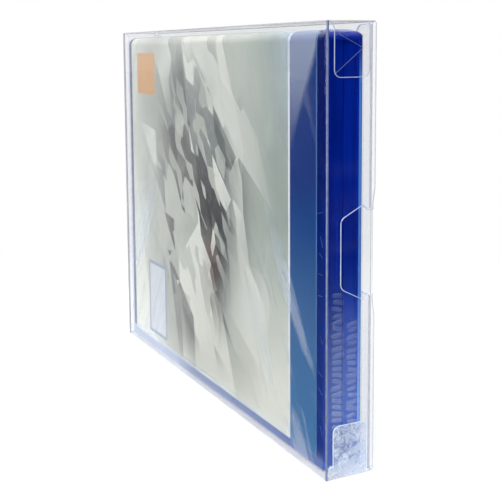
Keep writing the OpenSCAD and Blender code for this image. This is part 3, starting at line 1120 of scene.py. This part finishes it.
pleats = []
pleat_y = wrap_low[1] / MM
corner_x = 84.7
for s in (-1, 1):
    pleat_z = 16.0
    while pleat_z < 84:
        inner_x = random.uniform(81.4, 83.8)
        drop = random.uniform(-0.8, 3.2)
        pleats.append(((s * inner_x, pleat_y, pleat_z), (s * corner_x, pleat_y, pleat_z - drop)))
        pleat_z += random.uniform(1.6, 13.0)
dim_pleat = pale_line("dim_corner_pleat", (0.12, 0.20, 0.58), 0.6, 0.95)
pleat_rods = grow(rims, straight_lines("corner_pleats", pleats), {"Radius": 0.07 * MM})
place_mesh("corner_pleats", pleat_rods, dim_pleat, "sleeve")

# %% [markdown]
# The lower corner of each closure is bumped and shows short bright scratches.
# They ride the closure, so that they swing with it.

# %% Scratches on the bumped corners
scratch_count = 11


def scratch(s):
    start = Vector((s * random.uniform(87.7, 88.0), random.uniform(-8.1, -6.3), random.uniform(0.9, 4.5)))
    end = start + Vector((0, random.uniform(-1.5, 1.5), random.uniform(-1.4, 1.4)))
    end.y = max(-8.2, end.y)
    end.z = max(0.7, end.z)
    return start, end


for s, body in ((1, "closure"), (-1, "end_closure")):
    scratches = straight_lines("scratches", [scratch(s) for count in range(scratch_count)])
    # The scratches wear the rims' film, with its painted glint and painted glow.
    scratch_rods = grow(rims, scratches, {"Radius": rim_radius})
    place_mesh("bumped_corner_of_" + body, scratch_rods, rim_film, body)

# %% [markdown]
# The box stands on a white table. The camera sees some of its shading under
# the box and pure white farther out, as in a cleaned-up product shot. Other
# rays find a lit patch beside the near end and a lit table behind the far end,
# and those are what the clear walls and the wrap mirror.

# %% Table
backdrop_heading = (-0.893, 0.449, 0.0)


def table_seen(tree, distance):
    paint = add(tree, "ShaderNodeBsdfDiffuse", {"Color": (0.95, 0.95, 0.95, 1)}).outputs[0]
    white = add(tree, "ShaderNodeEmission", {"Color": (1, 1, 1, 1), "Strength": 1.0}).outputs[0]
    shown = ramp(tree, distance, 0.10, 0.30, 0.6, 1.0, True)
    return add(tree, "ShaderNodeMixShader", {0: shown, 1: paint, 2: white}).outputs[0]


def table_mirrored(tree, distance, flat, y):
    around = ramp(tree, distance, 0.12, 0.34, 0.9, 0.0, True)
    beside = calc(tree, "MULTIPLY", around, ramp(tree, y, -0.02, 0.0, 0.04, 1.0))
    outward = add(tree, "ShaderNodeVectorMath", {0: flat}, operation="NORMALIZE").outputs[0]
    inputs = {0: outward, 1: backdrop_heading}
    facing = add(tree, "ShaderNodeVectorMath", inputs, operation="DOT_PRODUCT").outputs["Value"]
    behind = ramp(tree, facing, 0.50, 0.76, 0.0, 0.95, True)
    found = calc(tree, "MAXIMUM", beside, behind)
    return add(tree, "ShaderNodeEmission", {"Color": (1, 1, 1, 1), "Strength": found}).outputs[0]


def table_paint():
    material, tree = new_material("white_table")
    x, y, z = axes_of(tree, where_of(tree))
    flat = add(tree, "ShaderNodeCombineXYZ", {0: x, 1: y}).outputs[0]
    distance = add(tree, "ShaderNodeVectorMath", {0: flat}, operation="LENGTH").outputs["Value"]
    camera_ray = add(tree, "ShaderNodeLightPath").outputs["Is Camera Ray"]
    inputs = {0: camera_ray, 1: table_mirrored(tree, distance, flat, y), 2: table_seen(tree, distance)}
    finish_material(material, add(tree, "ShaderNodeMixShader", inputs).outputs[0])
    return material


table_mesh = bpy.data.meshes.new("table")
bm = bmesh.new()
bmesh.ops.create_circle(bm, cap_ends=True, radius=6.0, segments=64)
bm.to_mesh(table_mesh)
bm.free()
table_mesh.materials.append(table_paint())
table = bpy.data.objects.new("table", table_mesh)
bpy.context.scene.collection.objects.link(table)

# %% [markdown]
# A white backdrop stands behind the box, and the rest of the studio is dark.
# The narrow end mirrors the dark side of the room near its top and the table
# lower down, which is why its blue is so deep above. The long side mirrors the
# backdrop more and more towards its far end. Only rays from the camera see
# pure white everywhere. Area lights could do this, but soft patches of sky
# give the same light with less noise.

# %% Studio
lights = (
    # direction, half angle of the even part, half angle at the end, level
    (backdrop_heading, 44, 57, 1.05),
    ((0.0, 0.0, 1.0), 45, 68, 1.2),
    ((0.4, -0.82, 0.4), 18, 42, 4.6),
    ((-0.5, 0.8, 0.35), 20, 42, 1.2),
)


def patch_of_sky(tree, heading, direction, even, end, strength):
    inputs = {0: heading, 1: Vector(direction).normalized()}
    towards = add(tree, "ShaderNodeVectorMath", inputs, operation="DOT_PRODUCT").outputs["Value"]
    edge = math.cos(math.radians(end))
    full = math.cos(math.radians(even))
    return ramp(tree, towards, edge, full, 0.0, strength, True)


def studio():
    world = bpy.data.worlds.new("studio")
    world.use_nodes = True
    tree = world.node_tree
    tree.nodes.clear()
    heading = add(tree, "ShaderNodeTexCoord").outputs["Generated"]
    level = 0.0
    for light in lights:
        level = calc(tree, "ADD", patch_of_sky(tree, heading, *light), level)
    camera_ray = add(tree, "ShaderNodeLightPath").outputs["Is Camera Ray"]
    seen = ramp(tree, camera_ray, 0.0, 1.0, level, 1.0)
    sky = add(tree, "ShaderNodeBackground", {"Color": (1, 1, 1, 1), "Strength": seen}).outputs[0]
    add(tree, "ShaderNodeOutputWorld", {"Surface": sky})
    return world


scene = bpy.context.scene
scene.world = studio()
scene.view_settings.view_transform = "Standard"
scene.cycles.transparent_max_bounces = 32
print("patches of light:", len(lights))
